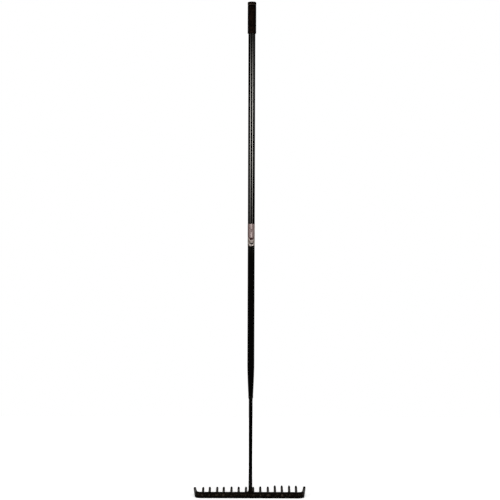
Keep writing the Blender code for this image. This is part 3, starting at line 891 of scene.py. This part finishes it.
def add_cap(material):
    """The moulded cap: a dimpled flat top, a rounded edge, and a hollow barbed stem inside the tube."""
    low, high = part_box("grip_end_cap")
    under = high.z - CAP_HEIGHT
    barb = TUBE_RADIUS - TUBE_WALL - BITE
    stem = barb - CAP_BARB_STAND
    hollow = stem - CAP_STEM_WALL
    middle, dimple_floor, dimple_edge, flat = CAP_DIMPLE_RADII
    sunk = high.z - CAP_DIMPLE_DEPTH
    section = [(middle, sunk), (dimple_floor, sunk), (dimple_edge, high.z), (flat, high.z)]
    section += quarter_round(CAP_RADIUS, high.z, CAP_EDGE_RADIUS, -1)
    heights = steps(high.z - CAP_EDGE_RADIUS, under + JOINT_CHAMFER, CAP_SPACING)
    section += [(CAP_RADIUS, height) for height in heights[1:]]
    section += [(CAP_RADIUS - JOINT_CHAMFER, under), (stem, under)]
    for number in range(1, CAP_BARB_COUNT + 1):
        height = blend(under, low.z, number / (CAP_BARB_COUNT + 1))
        section += [(stem, height + CAP_BARB_STAND), (barb, height), (stem, height - CAP_BARB_RAMP)]
    section += [(stem, low.z), (hollow, low.z), (hollow, high.z - CAP_ROOF), (middle, high.z - CAP_ROOF)]
    rings = [circle(radius, height, TUBE_SIDES) for radius, height in section]
    dress("vinyl_cap", skinned(rings), material, "grip_end_cap")


def lay_print(bm, low, high):
    """Maps the label's print over it: across its span and up between those heights, each from 0 to 1."""
    print_map = bm.loops.layers.uv.new("print")
    facing = Matrix.Rotation(-LABEL_FACING, 3, "Z")
    for face in bm.faces:
        for loop in face.loops:
            turned = facing @ loop.vert.co
            across = Vector((turned.x, turned.y)).angle_signed(Vector((1, 0)), 0.0)
            loop[print_map].uv = (0.5 + across / LABEL_SPAN, (turned.z - low) / (high - low))


def add_label(material):
    """A thin film bent round the front of the tube, with rounded corners and its print laid over it."""
    low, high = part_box("label_foil")
    inner = TUBE_RADIUS + BITE / 4
    outer = inner + LABEL_THICKNESS
    half_width = LABEL_SPAN / 2 * outer
    corner = [LABEL_CORNER * (1 - cos(turn)) - half_width for turn in quarter_turns(LABEL_CORNER_STEPS)]
    middle = steps(corner[-1], -corner[-1], LABEL_SPACING)[1:-1]
    rings = []
    for along in corner + middle + [-place for place in reversed(corner)]:
        to_corner = LABEL_CORNER - min(half_width - abs(along), LABEL_CORNER)
        inset = LABEL_CORNER - sqrt(LABEL_CORNER**2 - to_corner**2)
        heights = steps(low.z + inset, high.z - inset, (high.z - low.z - 2 * inset) / LABEL_ROWS)
        turn = LABEL_FACING + along / outer
        side = [(outer, height) for height in heights] + [(inner, height) for height in reversed(heights)]
        rings.append([Vector((radius * cos(turn), radius * sin(turn), height)) for radius, height in side])
    bm = skinned(rings)
    lay_print(bm, low.z, high.z)
    dress("printed_label", bm, material, "label_foil")


def add_camera():
    camera = bpy.data.cameras.new("camera")
    camera.sensor_width = SENSOR_WIDTH
    camera.lens = SENSOR_WIDTH * CAMERA_DISTANCE / (PICTURE_SIDE * PIXEL_SIZE)
    stand = bpy.data.objects.new("camera", camera)
    height = (FOOT_ROW - PICTURE_SIDE / 2) * PIXEL_SIZE
    place = Matrix.Translation((CAMERA_SIDE, -CAMERA_DISTANCE, height))
    stand.matrix_world = place @ Matrix.Rotation(CAMERA_ROLL, 4, "Y") @ Matrix.Rotation(pi / 2, 4, "X")
    bpy.context.scene.collection.objects.link(stand)
    bpy.context.scene.camera = stand


def add_softbox(name, place, target, size, power):
    """A soft lamp that the camera doesn't see. Returns its node tree's builder and its emission."""
    lamp = bpy.data.lights.new(name, "AREA")
    lamp.shape = "RECTANGLE"
    lamp.size, lamp.size_y = size
    lamp.energy = power
    lamp.use_nodes = True
    stand = bpy.data.objects.new(name, lamp)
    stand.location = place
    stand.rotation_euler = (Vector(target) - Vector(place)).to_track_quat("-Z", "Y").to_euler()
    stand.visible_camera = False
    bpy.context.scene.collection.objects.link(stand)
    return Nodes(lamp.node_tree), lamp.node_tree.nodes["Emission"]


def add_lights():
    """Two tall lamps, brightest near their middle, that leave the tube's two streaks, and a lamp above."""
    middle = KEY_BOTTOM + KEY_SIZE[1] / 2
    for name, turn, power in zip(("left_softbox", "right_softbox"), KEY_TURNS, KEY_POWERS):
        place = (KEY_DISTANCE * sin(turn), -KEY_DISTANCE * cos(turn), middle)
        nodes, emission = add_softbox(name, place, (0, 0, middle), KEY_SIZE, power)
        height = nodes.axis(nodes.add("ShaderNodeNewGeometry", output="Position"), "Z")
        upward = nodes.ranged(height, KEY_BOTTOM, KEY_BRIGHTEST)
        downward = nodes.ranged(height, KEY_BOTTOM + KEY_SIZE[1], KEY_BRIGHTEST)
        nodes.connect(emission.inputs["Strength"], nodes.product(upward, downward))
    add_softbox("top_softbox", TOP_PLACE, TOP_TARGET, TOP_SIZE, TOP_POWER)


def add_room():
    """White to the camera all round, and otherwise a dim room with a white backdrop behind the tool."""
    world = bpy.data.worlds.new("studio")
    world.use_nodes = True
    bpy.context.scene.world = world
    nodes = Nodes(world.node_tree)
    background = world.node_tree.nodes["Background"]
    direction = nodes.add("ShaderNodeTexCoord", output="Generated")
    behind = nodes.ranged(nodes.axis(direction, "Y"), *BACKDROP_RAMP)
    seen = nodes.add("ShaderNodeLightPath", output="Is Camera Ray")
    nodes.connect(background.inputs["Color"], WHITE)
    nodes.connect(background.inputs["Strength"], nodes.maths("MAXIMUM", behind, seen))


def white_paper():
    """Matt paper that glows to the camera and in reflections, less so near the tool to keep its shadow."""
    paper = bpy.data.materials.new("white_paper")
    paper.use_nodes = True
    nodes = Nodes(paper.node_tree)
    for node in list(paper.node_tree.nodes):
        paper.node_tree.nodes.remove(node)
    kinds = ("Is Camera Ray", "Is Glossy Ray", "Is Transmission Ray")
    camera, glossy, through = [nodes.add("ShaderNodeLightPath", output=kind) for kind in kinds]
    seen = nodes.maths("MAXIMUM", nodes.maths("MAXIMUM", camera, glossy), through)
    place = nodes.add("ShaderNodeTexCoord", output="Object")
    away = nodes.add("ShaderNodeVectorMath", {0: place}, "Value", operation="LENGTH")
    strength = nodes.product(seen, nodes.ranged(away, *PAPER_GLOW_RAMP))
    matt = nodes.add("ShaderNodeBsdfDiffuse", {"Color": PAPER_COLOUR})
    glow = nodes.add("ShaderNodeEmission", {"Color": WHITE, "Strength": strength})
    output = paper.node_tree.nodes.new("ShaderNodeOutputMaterial")
    nodes.connect(output.inputs["Surface"], nodes.add("ShaderNodeAddShader", {0: matt, 1: glow}))
    return paper


def add_floor():
    bm = bmesh.new()
    divisions = {"x_segments": FLOOR_STEPS, "y_segments": FLOOR_STEPS}
    bmesh.ops.create_grid(bm, size=FLOOR_HALF_SIZE, matrix=Matrix.Translation(FLOOR_PLACE), **divisions)
    mesh = bpy.data.meshes.new("floor")
    bm.to_mesh(mesh)
    bm.free()
    mesh.materials.append(white_paper())
    floor = bpy.data.objects.new("floor", mesh)
    bpy.context.scene.collection.objects.link(floor)


def build():
    bpy.context.scene.view_settings.view_transform = "Standard"
    head_paint = forged_paint("forged_black_paint")
    gloss = enamel("gloss_black_enamel", GLOSS_ROUGHNESS, GLOSS_SPECULAR)
    satin = enamel("satin_black_enamel", SATIN_ROUGHNESS, SATIN_SPECULAR)
    grip = vinyl("moulded_vinyl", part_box("grip_sleeve")[1].z)
    add_beam(head_paint)
    add_teeth(head_paint)
    add_head_weld(head_paint)
    add_neck(satin)
    add_mouth_weld(satin)
    add_tube(gloss)
    add_sleeve(grip)
    add_cap(grip)
    add_label(printed_film("printed_film"))
    add_camera()
    add_lights()
    add_room()
    add_floor()


build()
